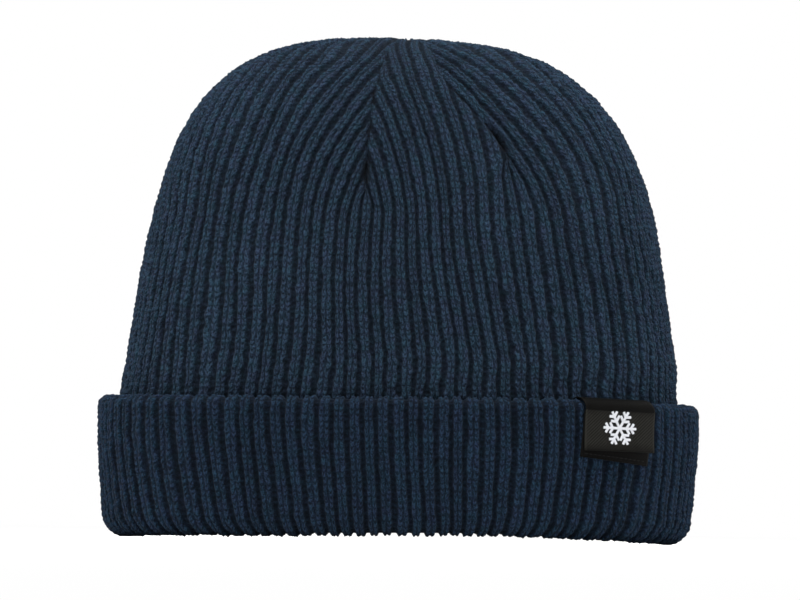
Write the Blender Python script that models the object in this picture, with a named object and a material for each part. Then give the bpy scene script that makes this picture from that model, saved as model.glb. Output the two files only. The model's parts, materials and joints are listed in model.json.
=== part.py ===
"""Knit beanie: a double-ply crown closed by six darts, and a turned-up cuff with a folded woven tag.

The cap stands on its cuff with the mouth down. +Z is up, the front is -Y, and the origin is at the
centre of the base. Lengths are in metres. Every level section of the cap is an oval (a superellipse),
so a piece is made of rings whose half sizes are those of the crown's outer face plus an offset.
"""

import math

import bmesh
import bpy
from mathutils import Vector

MM = 0.001

# Crown: the outer face where the cuff holds it, and the height of the cap
HALF_WIDTH = 102.6 * MM
HALF_DEPTH = 78.3 * MM
SQUARENESS = 2.5
CAP_HEIGHT = 184.3 * MM
TAPER = 0.155
SHOULDER_HEIGHT = 95 * MM
DOME_RISE_POWER = 3.0
DOME_WIDTH_POWER = 2.9
PLY = 2.6 * MM
PLY_GAP_AT_CUFF = 0.6 * MM
PLY_GAP_IN_CROWN = 2.6 * MM
GAP_OPENS_FROM = 55 * MM
GAP_OPENS_OVER = 60 * MM
CROWN_FOOT = 3.5 * MM

# Cuff: offsets are outward from the crown's outer face
CUFF_HEIGHT = 52 * MM
CUFF_OUTER_FACE = 8.2 * MM
CUFF_INNER_FACE = 0.5 * MM
CUFF_PLY = 3.0 * MM
CUFF_BOTTOM_RADIUS = 9 * MM
CUFF_LIP = -5.4 * MM
HEM_END_HEIGHT = 42 * MM
CLEARANCE = 0.4 * MM

# Dart seams: front (-1) or back (1), how far across the half width each one lies at its top and at its
# lower end, the height of that end, and how far across the lining's own dart is from it
DARTS = {
    "front_left": (-1, -0.16, -0.16, 128 * MM, 0.19),
    "front_right": (-1, 0.20, 0.44, 141 * MM, 0.19),
    "back_left": (1, -0.16, -0.16, 128 * MM, 0.19),
    "back_right": (1, 0.20, 0.44, 141 * MM, 0.19),
    "side_left": (1, -1.0, -1.0, 136 * MM, 0.02),
    "side_right": (1, 1.0, 1.0, 136 * MM, -0.02),
}
DART_TOP_HALF_WIDTH = 14 * MM
SEAM_RADIUS = 0.7 * MM

# Woven tag at the cuff's right
TAG_ACROSS = (0.613, 0.842)
TAG_LEAF = 0.5 * MM
TAG_BACK_BOTTOM = 29.4 * MM
TAG_FLAP_BOTTOM = 32.6 * MM
TAG_FLAP_LIFT = 1.6 * MM
TAG_WRAP = math.radians(140)

# Care label inside, at the back
CARE_HALF_WIDTH = 14 * MM
CARE_TOP = 78 * MM
CARE_BOTTOM = 40 * MM
CARE_LEAF = 0.4 * MM

THREAD_RADIUS = 0.28 * MM
SEGMENTS = 64


# ---- The scene ----


def clear_scene():
    for item in list(bpy.data.objects):
        bpy.data.objects.remove(item, do_unlink=True)


def new_collection(name):
    collection = bpy.data.collections.new(name)
    bpy.context.scene.collection.children.link(collection)
    return collection


def new_material(name, color, roughness):
    material = bpy.data.materials.new(name)
    material.use_nodes = True
    shader = material.node_tree.nodes["Principled BSDF"]
    shader.inputs["Base Color"].default_value = (*color, 1.0)
    shader.inputs["Roughness"].default_value = roughness
    shader.inputs["Metallic"].default_value = 0.0
    return material


def new_empty(name, location, collection, parent=None):
    empty = bpy.data.objects.new(name, None)
    empty.empty_display_size = 0.02
    empty.location = location
    collection.objects.link(empty)
    if parent:
        hang_on(empty, parent)
    return empty


def hang_on(child, parent):
    """Parents child without moving it."""
    bpy.context.view_layer.update()
    child.parent = parent
    child.matrix_parent_inverse = parent.matrix_world.inverted()


def finish_piece(item, material, collection, parent):
    item.data.materials.append(material)
    collection.objects.link(item)
    if parent:
        hang_on(item, parent)
    return item


# ---- Shape of the cap ----


def smooth_step(value):
    value = min(max(value, 0.0), 1.0)
    return value * value * (3 - 2 * value)


def ply_gap(z):
    opening = smooth_step((z - GAP_OPENS_FROM) / GAP_OPENS_OVER)
    return PLY_GAP_AT_CUFF + (PLY_GAP_IN_CROWN - PLY_GAP_AT_CUFF) * opening


def crown_sizes(z, inset, top_inset):
    """Half width and half depth of the crown at height z, for a face inset from the outer one."""
    lean = TAPER * max(z - CUFF_HEIGHT, 0.0)
    half_width = HALF_WIDTH - lean - inset
    half_depth = HALF_DEPTH - lean * HALF_DEPTH / HALF_WIDTH - inset
    rise = max(z - SHOULDER_HEIGHT, 0.0) / (CAP_HEIGHT - top_inset - SHOULDER_HEIGHT)
    close = max(1 - rise**DOME_RISE_POWER, 0.0) ** (1 / DOME_WIDTH_POWER)
    return half_width * close, half_depth * close


def dome_heights(top_inset, steps=14):
    """Heights above the shoulder, closer together towards the top."""
    rise = CAP_HEIGHT - top_inset - SHOULDER_HEIGHT
    turns = [math.pi / 2 * i / steps for i in range(1, steps)]
    return [SHOULDER_HEIGHT + rise * math.sin(t) ** (2 / DOME_RISE_POWER) for t in turns]


def oval_point(half_width, half_depth, turn):
    power = 2 / SQUARENESS
    x = half_width * math.copysign(abs(math.cos(turn)) ** power, math.cos(turn))
    y = half_depth * math.copysign(abs(math.sin(turn)) ** power, math.sin(turn))
    return x, y


def point_across(half_width, half_depth, across, side=-1):
    """Point of the oval at a fraction of its half width; side is -1 at the front and 1 at the back."""
    depth = max(1 - abs(across) ** SQUARENESS, 0.0) ** (1 / SQUARENESS)
    return half_width * across, side * half_depth * depth


def cuff_point(offset, z, across, side=-1):
    """Point at an offset outward from the crown's outer face, at cuff level."""
    x, y = point_across(HALF_WIDTH + offset, HALF_DEPTH + offset, across, side)
    return Vector((x, y, z))


def loft_rings(name, rings, closed):
    """Solid between level oval rings (half width, half depth, z).

    A closed list runs round a hollow band and back to its first ring. An open one starts and ends in
    a ring of no size, which makes a pole.
    """
    bm = bmesh.new()
    rows = []
    for half_width, half_depth, z in rings:
        if half_width == 0:
            rows.append([bm.verts.new((0, 0, z))])
            continue
        turns = [2 * math.pi * i / SEGMENTS for i in range(SEGMENTS)]
        rows.append([bm.verts.new((*oval_point(half_width, half_depth, t), z)) for t in turns])
    pairs = list(zip(rows, rows[1:]))
    if closed:
        pairs.append((rows[-1], rows[0]))
    for low, high in pairs:
        for i in range(SEGMENTS):
            j = (i + 1) % SEGMENTS
            corners = [low[i % len(low)], low[j % len(low)], high[j % len(high)], high[i % len(high)]]
            bm.faces.new(list(dict.fromkeys(corners)))
    return mesh_from(name, bm)


def sweep_outline(name, outline, across_range, side=-1, columns=10):
    """Solid strip: an outline of (offset, z) points carried along part of the cuff's oval."""
    bm = bmesh.new()
    start, end = across_range
    rows = []
    for i in range(columns + 1):
        across = start + (end - start) * i / columns
        rows.append([bm.verts.new(cuff_point(offset, z, across, side)) for offset, z in outline])
    count = len(outline)
    for here, there in zip(rows, rows[1:]):
        for i in range(count):
            j = (i + 1) % count
            bm.faces.new((here[i], here[j], there[j], there[i]))
    for cap in (rows[0], rows[-1]):
        face = bm.faces.new(cap)
        bmesh.ops.triangulate(bm, faces=[face])
    return mesh_from(name, bm)


def mesh_from(name, bm):
    bmesh.ops.recalc_face_normals(bm, faces=bm.faces[:])
    if bm.calc_volume(signed=True) < 0:
        bmesh.ops.reverse_faces(bm, faces=bm.faces[:])
    mesh = bpy.data.meshes.new(name)
    bm.to_mesh(mesh)
    bm.free()
    return bpy.data.objects.new(name, mesh)


def thread_tube(name, points, radius):
    """A thread or seam ridge along the given points, with closed ends."""
    curve = bpy.data.curves.new(name, "CURVE")
    curve.dimensions = "3D"
    curve.bevel_depth = radius
    curve.bevel_resolution = 2
    curve.use_fill_caps = True
    spline = curve.splines.new("POLY")
    spline.points.add(len(points) - 1)
    for slot, point in zip(spline.points, points):
        slot.co = (*point, 1.0)
    return bpy.data.objects.new(name, curve)


def arc(centre, radius, start, end, steps):
    """Points of an arc in the (offset, z) plane; angles in radians, from outward towards up."""
    turns = [start + (end - start) * i / steps for i in range(steps + 1)]
    return [(centre[0] + radius * math.cos(t), centre[1] + radius * math.sin(t)) for t in turns]


# ---- Crown ----


def make_crown_ply(name, outer_inset, top_inset):
    """One closed knit ply; outer_inset(z) is how far its outer face lies inside the crown's."""
    levels = [CROWN_FOOT, 20 * MM, 38 * MM, CUFF_HEIGHT, 68 * MM, 82 * MM, SHOULDER_HEIGHT]

    def face(extra):
        heights = levels + dome_heights(top_inset + extra)
        return [(*crown_sizes(z, outer_inset(z) + extra, top_inset + extra), z) for z in heights]

    outer, inner = face(0.0), face(PLY)
    outer_pole = (0, 0, CAP_HEIGHT - top_inset)
    inner_pole = (0, 0, CAP_HEIGHT - top_inset - PLY)
    return loft_rings(name, [outer_pole] + outer[::-1] + inner + [inner_pole], closed=False)


def lining_inset(z):
    return PLY + ply_gap(z)


def dart_points(top_across, foot_across, foot_z, inset, top_inset, side):
    """Route of a dart seam under a crown face, from near the top of the crown to its lower end."""
    heights = [z for z in dome_heights(top_inset, 26) if z > foot_z]
    heights = [z for z in heights if crown_sizes(z, inset, top_inset)[0] > DART_TOP_HALF_WIDTH]
    top_z = heights[-1]
    points = []
    for z in [foot_z] + heights:
        across = foot_across + (top_across - foot_across) * (z - foot_z) / (top_z - foot_z)
        half_width, half_depth = crown_sizes(z, inset, top_inset)
        x, y = point_across(half_width, half_depth, across, side)
        points.append(Vector((x, y, z)))
    return points


def make_dart_seams(material, collection, parent):
    """The gathered ridge of cloth and thread behind each dart, in the space between the two plies."""
    outer_inset = PLY + CLEARANCE + SEAM_RADIUS
    lining_gap = PLY + PLY_GAP_IN_CROWN - CLEARANCE - SEAM_RADIUS
    for place, (side, top, foot, foot_z, lining_shift) in DARTS.items():
        plies = {"outer": (0.0, outer_inset), "lining": (lining_shift, lining_gap)}
        for ply, (shift, inset) in plies.items():
            points = dart_points(top + shift, foot + shift, foot_z, inset, inset, side)
            seam = thread_tube(f"dart_seam_{ply}_{place}", points, SEAM_RADIUS)
            finish_piece(seam, material, collection, parent)


def make_closing_knot(name, z):
    """The drawn-together thread ends under the top of a ply."""
    bm = bmesh.new()
    bmesh.ops.create_uvsphere(bm, u_segments=20, v_segments=10, radius=1.0)
    bmesh.ops.scale(bm, vec=(4.2 * MM, 4.2 * MM, 0.8 * MM), verts=bm.verts[:])
    bmesh.ops.translate(bm, vec=(0, 0, z), verts=bm.verts[:])
    return mesh_from(name, bm)


# ---- Cuff ----


def make_cuff_outer_ply():
    """The visible ply: under the cap, up the outside, and over the top fold to the hem's end."""
    fold_radius = (CUFF_OUTER_FACE - CUFF_INNER_FACE) / 2
    fold = (CUFF_INNER_FACE + fold_radius, CUFF_HEIGHT - fold_radius)
    corner = (CUFF_OUTER_FACE - CUFF_BOTTOM_RADIUS, CUFF_BOTTOM_RADIUS)
    quarter = math.pi / 2
    outline = [(CUFF_LIP, 0.0)]
    outline += arc(corner, CUFF_BOTTOM_RADIUS, -quarter, 0, 6)
    outline += arc(fold, fold_radius, 0, 2 * quarter, 8)
    outline += [(CUFF_INNER_FACE, HEM_END_HEIGHT), (CUFF_INNER_FACE + CUFF_PLY, HEM_END_HEIGHT)]
    outline += arc(fold, fold_radius - CUFF_PLY, 2 * quarter, 0, 4)
    outline += arc(corner, CUFF_BOTTOM_RADIUS - CUFF_PLY, 0, -quarter, 5)
    outline += arc((CUFF_LIP, CUFF_PLY / 2), CUFF_PLY / 2, quarter, 3 * quarter, 4)[:-1]
    return loft_rings("cuff_outer_ply", cuff_rings(outline), closed=True)


def make_cuff_inner_ply():
    """The ply between the crown and the visible ply of the cuff."""
    inner, outer = 1.0 * MM, 4.0 * MM
    top = HEM_END_HEIGHT - CLEARANCE
    outline = [(inner, 4.0 * MM), (2.5 * MM, 4.9 * MM), (outer, 6.4 * MM), (outer, top), (inner, top)]
    return loft_rings("cuff_inner_ply", cuff_rings(outline), closed=True)


def cuff_rings(outline):
    return [(HALF_WIDTH + offset, HALF_DEPTH + offset, z) for offset, z in outline]


# ---- Woven tag ----


def tag_pivot():
    """Point on the flap's hinge line, at the middle of the fold, and the direction of that line."""
    flap_middle = CUFF_OUTER_FACE + 2 * CLEARANCE + 1.5 * TAG_LEAF
    z = CUFF_HEIGHT - (CUFF_OUTER_FACE - CUFF_INNER_FACE) / 2
    ends = [cuff_point(flap_middle, z, across) for across in TAG_ACROSS]
    middle = cuff_point(flap_middle, z, sum(TAG_ACROSS) / 2)
    return middle, (ends[1] - ends[0]).normalized()


def make_tag_back_leaf():
    """The leaf sewn flat to the cuff; it wraps over the top fold."""
    fold_radius = (CUFF_OUTER_FACE - CUFF_INNER_FACE) / 2
    fold = (CUFF_INNER_FACE + fold_radius, CUFF_HEIGHT - fold_radius)
    inner = fold_radius + CLEARANCE
    outer = inner + TAG_LEAF
    outline = [(fold[0] + outer, TAG_BACK_BOTTOM)] + arc(fold, outer, 0, TAG_WRAP, 10)
    outline += arc(fold, inner, TAG_WRAP, 0, 10) + [(fold[0] + inner, TAG_BACK_BOTTOM)]
    return sweep_outline("tag_back_leaf", outline, TAG_ACROSS)


def make_tag_flap():
    """The free leaf: it hangs from the fold and its lower edge stands away from the cuff."""
    inner = CUFF_OUTER_FACE + 2 * CLEARANCE + TAG_LEAF
    outer = inner + TAG_LEAF
    top = CUFF_HEIGHT - (CUFF_OUTER_FACE - CUFF_INNER_FACE) / 2
    steps = 8
    rows = []
    for i in range(steps + 1):
        down = i / steps
        rows.append((TAG_FLAP_LIFT * down**2.5, top + (TAG_FLAP_BOTTOM - top) * down))
    outline = [(outer + lift, z) for lift, z in rows] + [(inner + lift, z) for lift, z in rows[::-1]]
    return sweep_outline("tag_flap", outline, TAG_ACROSS)


def make_tag_stitches():
    """One row of thread across the lower edge of the sewn leaf, as a string of low humps."""
    face = CUFF_OUTER_FACE + 2 * CLEARANCE + TAG_LEAF + THREAD_RADIUS
    count = 36
    start, end = TAG_ACROSS[0] + 0.01, TAG_ACROSS[1] - 0.008
    points = []
    for i in range(count + 1):
        hump = 0.2 * MM * (1 - math.cos(2 * math.pi * i / 4)) / 2
        across = start + (end - start) * i / count
        points.append(cuff_point(face + hump, TAG_BACK_BOTTOM + 1.5 * MM, across))
    return thread_tube("tag_stitches", points, THREAD_RADIUS)


# ---- Care label ----


def care_depth():
    """How far back the care label hangs: just inside the lining at its sewn edge."""
    half_depth = crown_sizes(CARE_TOP, lining_inset(CARE_TOP) + PLY, lining_inset(CARE_TOP) + PLY)[1]
    return half_depth - 2 * CLEARANCE


def make_care_label():
    """A ribbon folded in half, sewn in along its top edge, hanging straight down."""
    far = care_depth()
    near = far - 2 * CARE_LEAF - 2 * CLEARANCE
    middle = (far + near) / 2
    outer_radius = (far - near) / 2
    inner_radius = outer_radius - CARE_LEAF
    bend = CARE_BOTTOM + outer_radius
    outline = [(far, CARE_TOP)] + arc((middle, bend), outer_radius, 0, -math.pi, 8)
    outline += [(near, CARE_TOP), (near + CARE_LEAF, CARE_TOP)]
    outline += arc((middle, bend), inner_radius, -math.pi, 0, 8) + [(far - CARE_LEAF, CARE_TOP)]
    bm = bmesh.new()
    ends = []
    for x in (-CARE_HALF_WIDTH, CARE_HALF_WIDTH):
        ends.append([bm.verts.new((x, y, z)) for y, z in outline])
    for i in range(len(outline)):
        j = (i + 1) % len(outline)
        bm.faces.new((ends[0][i], ends[0][j], ends[1][j], ends[1][i]))
    for end in ends:
        bmesh.ops.triangulate(bm, faces=[bm.faces.new(end)])
    return mesh_from("care_label", bm)


def make_care_label_stitches():
    middle = care_depth() - CARE_LEAF - CLEARANCE
    z = CARE_TOP + CARE_LEAF + 2 * CLEARANCE + THREAD_RADIUS
    count = 32
    points = []
    for i in range(count + 1):
        hump = 0.2 * MM * (1 - math.cos(2 * math.pi * i / 4)) / 2
        x = CARE_HALF_WIDTH * (2 * i / count - 1)
        points.append(Vector((x, middle, z + hump)))
    return thread_tube("care_label_stitches", points, THREAD_RADIUS)


def move_origin(item, pivot):
    """Puts a mesh object's origin on its joint's axis."""
    for vertex in item.data.vertices:
        vertex.co -= pivot
    item.location = pivot


def main():
    clear_scene()
    beanie = new_collection("knit_beanie")

    rib_knit = new_material("rib_knit", (0.030, 0.050, 0.082), 0.95)
    lining_knit = new_material("lining_knit", (0.028, 0.047, 0.077), 0.95)
    seam_thread = new_material("seam_thread", (0.020, 0.034, 0.056), 0.85)
    tag_satin = new_material("tag_satin", (0.012, 0.012, 0.012), 0.45)
    tag_thread = new_material("tag_thread", (0.016, 0.016, 0.017), 0.7)
    care_satin = new_material("care_satin", (0.70, 0.69, 0.66), 0.5)
    care_thread = new_material("care_thread", (0.60, 0.60, 0.58), 0.7)

    slide = new_empty("crown_slide", (0, 0, CROWN_FOOT), beanie)
    outer = make_crown_ply("crown_outer_ply", lambda z: 0.0, 0.0)
    finish_piece(outer, rib_knit, beanie, slide)
    lining = make_crown_ply("crown_lining_ply", lining_inset, PLY + PLY_GAP_IN_CROWN)
    finish_piece(lining, lining_knit, beanie, slide)
    make_dart_seams(seam_thread, beanie, slide)
    knot_drop = PLY + 1.3 * MM
    outer_knot = make_closing_knot("closing_knot_outer", CAP_HEIGHT - knot_drop)
    finish_piece(outer_knot, seam_thread, beanie, slide)
    lining_knot = make_closing_knot("closing_knot_lining", CAP_HEIGHT - PLY - PLY_GAP_IN_CROWN - knot_drop)
    finish_piece(lining_knot, seam_thread, beanie, slide)

    finish_piece(make_cuff_outer_ply(), rib_knit, beanie, None)
    finish_piece(make_cuff_inner_ply(), rib_knit, beanie, None)

    pivot, line = tag_pivot()
    hinge = new_empty("tag_flap_hinge", pivot, beanie)
    hinge.rotation_euler = Vector((1, 0, 0)).rotation_difference(line).to_euler()
    finish_piece(make_tag_back_leaf(), tag_satin, beanie, None)
    flap = make_tag_flap()
    move_origin(flap, pivot)
    finish_piece(flap, tag_satin, beanie, hinge)
    finish_piece(make_tag_stitches(), tag_thread, beanie, None)

    care_pivot = Vector((0, care_depth() - CARE_LEAF - CLEARANCE, CARE_TOP))
    care_hinge = new_empty("care_label_hinge", care_pivot, beanie, slide)
    care = make_care_label()
    move_origin(care, care_pivot)
    finish_piece(care, care_satin, beanie, care_hinge)
    finish_piece(make_care_label_stitches(), care_thread, beanie, slide)


main()
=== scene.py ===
"""Looks of the knit beanie: ribbed plies, turned-up cuff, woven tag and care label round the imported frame."""

import json
import math

import bpy
import numpy as np
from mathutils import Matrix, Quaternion, Vector


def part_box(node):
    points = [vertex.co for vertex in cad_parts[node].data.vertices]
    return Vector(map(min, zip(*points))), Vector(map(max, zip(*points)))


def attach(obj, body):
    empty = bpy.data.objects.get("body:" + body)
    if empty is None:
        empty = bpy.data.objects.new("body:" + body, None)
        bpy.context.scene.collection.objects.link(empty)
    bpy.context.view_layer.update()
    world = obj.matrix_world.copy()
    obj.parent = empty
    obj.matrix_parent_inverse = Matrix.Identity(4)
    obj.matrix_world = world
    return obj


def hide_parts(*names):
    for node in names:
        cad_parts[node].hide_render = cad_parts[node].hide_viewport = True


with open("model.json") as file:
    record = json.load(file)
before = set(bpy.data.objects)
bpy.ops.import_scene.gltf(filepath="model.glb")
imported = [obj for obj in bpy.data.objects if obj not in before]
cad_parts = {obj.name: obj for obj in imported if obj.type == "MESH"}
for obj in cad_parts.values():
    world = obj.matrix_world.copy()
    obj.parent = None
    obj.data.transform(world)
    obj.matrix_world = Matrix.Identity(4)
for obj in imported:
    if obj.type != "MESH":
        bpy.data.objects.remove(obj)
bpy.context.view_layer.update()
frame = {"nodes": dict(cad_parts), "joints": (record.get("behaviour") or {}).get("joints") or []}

MM = 0.001
TURN = 2 * math.pi

# ---- Shape of the cap, as in the frame. An offset is measured outwards from the outer face of the crown ----

crown_low, crown_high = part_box("crown_outer_ply")
cuff_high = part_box("cuff_outer_ply")[1]
HALF_WIDTH, HALF_DEPTH, CAP_TOP = crown_high
CROWN_FOOT = crown_low.z
CUFF_TOP = cuff_high.z
CUFF_FACE = cuff_high.x - HALF_WIDTH
SQUARENESS = 2.5
TAPER = 0.155
SHOULDER = 95 * MM
RISE_POWER, WIDTH_POWER = 3.0, 2.9
WALL_STEPS, DOME_STEPS = 800, 3000
HIDDEN_ROWS = 34
PLY = 2.6 * MM
PLY_GAP_AT_CUFF, PLY_GAP_IN_CROWN = 0.6 * MM, 2.6 * MM
CUFF_INNER_FACE = 0.5 * MM
CUFF_PLY = 3.0 * MM
CUFF_CORNER = 9 * MM
CUFF_LIP, LIP_RISE = -5.4 * MM, 1.4 * MM
HEM_END = 44 * MM

# ---- The knit. Places across a rib are shares of its pitch; a course is one row of stitches ----

RIBS = 104
COLUMNS_PER_RIB, COLUMNS_PER_HIDDEN_RIB = 12, 6
TABLE_STEPS = 16385
CORNER_STRETCH = 0.32
COURSE = 2.35 * MM
ROW = COURSE / 3
COURSE_DRIFT = 0.3
WALE_CENTRE, WALE_HALF = 0.18, 0.14
LEG_RISE = 0.6
RIB_EDGE, RIB_SLOPE = 0.25, 0.15
BAR_EDGE, BAR_SLOPE = 0.33, 0.08
RIB_HEIGHT, WALE_HEIGHT, STITCH_HEIGHT = 0.95 * MM, 0.45 * MM, 0.26 * MM
CREST = RIB_HEIGHT + WALE_HEIGHT
CROWN_SWAY, CROWN_JITTER = 0.14, 0.045
CUFF_SWAY, CUFF_JITTER = 0.09, 0.028

# ---- Darts: fraction of the half width at top and foot, and the foot's height ----

LEFT_DART = (-0.16, -0.16, 128 * MM)
RIGHT_DART = (0.20, 0.44, 141 * MM)
SIDE_DART_FOOT = 136 * MM
DART_TOP = 176 * MM
NARROWS_FROM = 117 * MM
GROOVE_DEPTH, POCKET_DEPTH, GROOVE_WIDTH = 0.9 * MM, 1.9 * MM, 1.2 * MM
POCKET_HEIGHT = 6 * MM
# Widths of the shade painted into a dart's seam and into the pocket at its foot, and how slowly the painted
# seam shade waxes and wanes along the seam
SEAM_SHADE_WIDTH, POCKET_SHADE_WIDTH, SEAM_SHADE_WAVE = 0.8 * MM, 1.9 * MM, 2.3 * MM

# Petals between the front's darts: where each one's middle rib lies where the crown starts to narrow, how far
# it has wandered across at the top, and how late it does so
PETALS = ((-0.46, 0.30, 1.9), (0.20, -0.27, 2.2), (0.675, -0.31, 2.0))
GATHER, GATHER_POWER = 0.35, 1.2

# Sideways drift of the front's ribs higher up: how many ribs, round which place across, over what width
DRIFTS = ((1.15, 0.3, 0.42), (0.45, -0.62, 0.3))

rng = np.random.default_rng(11)


def smooth(x):
    x = np.clip(x, 0.0, 1.0)
    return x * x * (3 - 2 * x)


def rise(value, start, length):
    """From 0 to 1 as value passes from start over a length."""
    return smooth((value - start) / length)


def bell(value, centre, spread):
    return np.exp(-(((value - centre) / spread) ** 2))


def make_waves(count, shortest, longest):
    """Random sine waves, for soft unevenness in space."""
    direction = rng.normal(size=(count, 3))
    direction /= np.linalg.norm(direction, axis=1)[:, None]
    length = shortest * (longest / shortest) ** rng.random(count)
    return direction * (TURN / length)[:, None], rng.random(count) * TURN


def ripple(points, waves):
    vectors, offsets = waves
    total = np.zeros(points.shape[:-1])
    for vector, offset in zip(vectors, offsets):
        total += np.sin(points @ vector + offset)
    return total / math.sqrt(len(offsets))


FORM_X = make_waves(7, 60 * MM, 150 * MM)
FORM_Y = make_waves(7, 60 * MM, 150 * MM)
FORM_Z = make_waves(7, 70 * MM, 150 * MM)
WOBBLE = make_waves(9, 22 * MM, 70 * MM)
LUMPS = make_waves(14, 5 * MM, 14 * MM)
JITTER = make_waves(16, 3.5 * MM, 9 * MM)
DRIFT = make_waves(12, 8 * MM, 26 * MM)


# ---- Ovals, columns and rows ----


def unit_oval(turn):
    power = 2 / SQUARENESS
    c, s = np.cos(turn), np.sin(turn)
    return np.sign(c) * np.abs(c) ** power, np.sign(s) * np.abs(s) ** power


def make_rib_table():
    """Turn and rib count round the cap. Ribs stand a little wider apart where the oval bends."""
    turn = np.linspace(0, TURN, TABLE_STEPS)
    x, y = unit_oval(turn)
    steps = np.hypot(np.diff(x) * HALF_WIDTH, np.diff(y) * HALF_DEPTH)
    middle = (turn[1:] + turn[:-1]) / 2
    power = 2 - 2 / SQUARENESS
    facing_y = np.abs(np.sin(middle)) ** power / HALF_DEPTH
    facing_x = np.abs(np.cos(middle)) ** power / HALF_WIDTH
    normal = np.arctan2(facing_y, facing_x)
    phase = np.concatenate([[0.0], np.cumsum(steps / (1 + CORNER_STRETCH * np.sin(2 * normal) ** 2))])
    return turn, phase * RIBS / phase[-1]


TURN_TABLE, PHASE_TABLE = make_rib_table()


def phase_of(turn):
    return np.interp(turn, TURN_TABLE, PHASE_TABLE)


def column_turns(per_rib):
    """Turns of evenly knit columns; the first is repeated at the end."""
    return np.interp(np.arange(RIBS * per_rib + 1) / per_rib, PHASE_TABLE, TURN_TABLE)


def ply_gap(z):
    return PLY_GAP_AT_CUFF + (PLY_GAP_IN_CROWN - PLY_GAP_AT_CUFF) * rise(z, 55 * MM, 60 * MM)


def meridian(inset, top_inset, row):
    """Half width, half depth, height and length along a crown face, in rows from foot to apex."""
    wall = np.linspace(CROWN_FOOT, SHOULDER, WALL_STEPS)
    dome_height = CAP_TOP - top_inset - SHOULDER
    bend = np.linspace(0, math.pi / 2, DOME_STEPS)[1:]
    z = np.concatenate([wall, SHOULDER + dome_height * np.sin(bend) ** (2 / RISE_POWER)])
    close = np.concatenate([np.ones(WALL_STEPS), np.cos(bend) ** (2 / WIDTH_POWER)])
    lean = TAPER * np.maximum(z - CUFF_TOP, 0)
    half_width = (HALF_WIDTH - lean - inset(z)) * close
    half_depth = (HALF_DEPTH - lean * HALF_DEPTH / HALF_WIDTH - inset(z)) * close
    mean = (half_width + half_depth) / 2
    length = np.concatenate([[0], np.cumsum(np.hypot(np.diff(mean), np.diff(z)))])
    rows = np.linspace(0, length[-1], int(length[-1] / row) + 1)
    return [np.interp(rows, length, values) for values in (half_width, half_depth, z)] + [rows]


def smooth_path(points, row):
    """A polyline of (offset, z) points, in even rows."""
    points = np.array(points)
    length = np.concatenate([[0], np.cumsum(np.hypot(*np.diff(points, axis=0).T))])
    rows = np.linspace(0, length[-1], max(int(length[-1] / row), 2) + 1)
    return np.interp(rows, length, points[:, 0]), np.interp(rows, length, points[:, 1]), rows


def arc(centre, radius, start, end, steps=24):
    turns = np.linspace(start, end, steps)
    return [(centre[0] + radius * math.cos(t), centre[1] + radius * math.sin(t)) for t in turns]


# ---- Warp shared by every soft piece ----

ARCH, BACK_ARCH = 2.0 * MM, 1.3 * MM
DOME_TILT, DOME_LIFT = 0.035, 0.5 * MM
FULLER_LEFT, FULLER_RIGHT, FULLER_SHOULDER = 0.9 * MM, 1.4 * MM, 0.3 * MM
SHOULDER_LIFT, CORNER_DROP = 1.0 * MM, 0.5 * MM
SOFT_X, SOFT_Y, SOFT_Z = 0.35, 0.8, 0.5
OFF_THE_FLOOR = 0.02 * MM


def settle(points):
    """The arched lower edge and its pull inwards, the lean of the dome and the softness of the form."""
    x, y, z = points[..., 0], points[..., 1], points[..., 2]
    moved = points.copy()
    low = 1 - rise(z, 0, 100 * MM)
    pulled = 1 - rise(z, 0, 42 * MM)
    high = rise(z, 110 * MM, 65 * MM)
    soft = (0.25 + 0.75 * rise(z, 55 * MM, 50 * MM)) * MM
    to_right = smooth(0.5 + x / (90 * MM))
    arch = ARCH * (0.45 + 0.65 * smooth(0.6 + x / (110 * MM))) + BACK_ARCH * (y > 0)
    moved[..., 2] += arch * low * np.clip(np.abs(y) / HALF_DEPTH, 0, 1) ** 2
    above = rise(z, 54 * MM, 12 * MM)
    shoulder = bell(z, 172 * MM, 22 * MM)
    moved[..., 0] += above * to_right * (FULLER_RIGHT + FULLER_SHOULDER * shoulder)
    moved[..., 0] += FULLER_LEFT * (1 - to_right) * bell(z, 122 * MM, 22 * MM)
    moved[..., 2] += above * shoulder * to_right * SHOULDER_LIFT + DOME_LIFT * high
    right_end = rise(x, 62 * MM, 25 * MM) * rise(z, 34 * MM, 12 * MM) * (1 - above)
    moved[..., 2] -= CORNER_DROP * right_end
    moved[..., 2] -= DOME_TILT * x * high
    moved[..., 0] += pulled * (0.8 * MM - 0.014 * x - 1.8 * MM * rise(x, 0, 60 * MM))
    moved[..., 0] += SOFT_X * soft * ripple(points, FORM_X)
    moved[..., 1] += SOFT_Y * soft * ripple(points, FORM_Y)
    moved[..., 2] += SOFT_Z * soft * ripple(points, FORM_Z) * rise(z, 60 * MM, 40 * MM)
    moved[..., 2] = np.maximum(moved[..., 2], OFF_THE_FLOOR)
    return moved


# ---- Rib relief ----


def knit_relief(phase, course, lumps=0.0):
    """Height of the knit over its valleys: two wales of V stitches on each rib, and purl bars between."""
    across = np.abs(phase % 1.0 - 0.5)
    rib = 1 - rise(across, RIB_EDGE, RIB_SLOPE)
    wale = (across - WALE_CENTRE) / WALE_HALF
    ridge = np.clip(1 - wale**2, 0, 1)
    stitch = np.cos(TURN * (course - LEG_RISE * np.abs(wale)))
    cell = np.floor(phase * 2) * 12.9898 + np.floor(course) * 78.233
    uneven = (np.sin(cell) * 43758.5453) % 1.0 - 0.5
    bars = np.clip((across - BAR_EDGE) / BAR_SLOPE, 0, 1) * np.cos(TURN * course)
    height = RIB_HEIGHT * rib * (1 + 0.10 * uneven + 0.16 * lumps) + WALE_HEIGHT * ridge
    return height + STITCH_HEIGHT * (ridge * stitch + 0.8 * bars)


# ---- Where the ribs run on the crown ----


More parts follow.
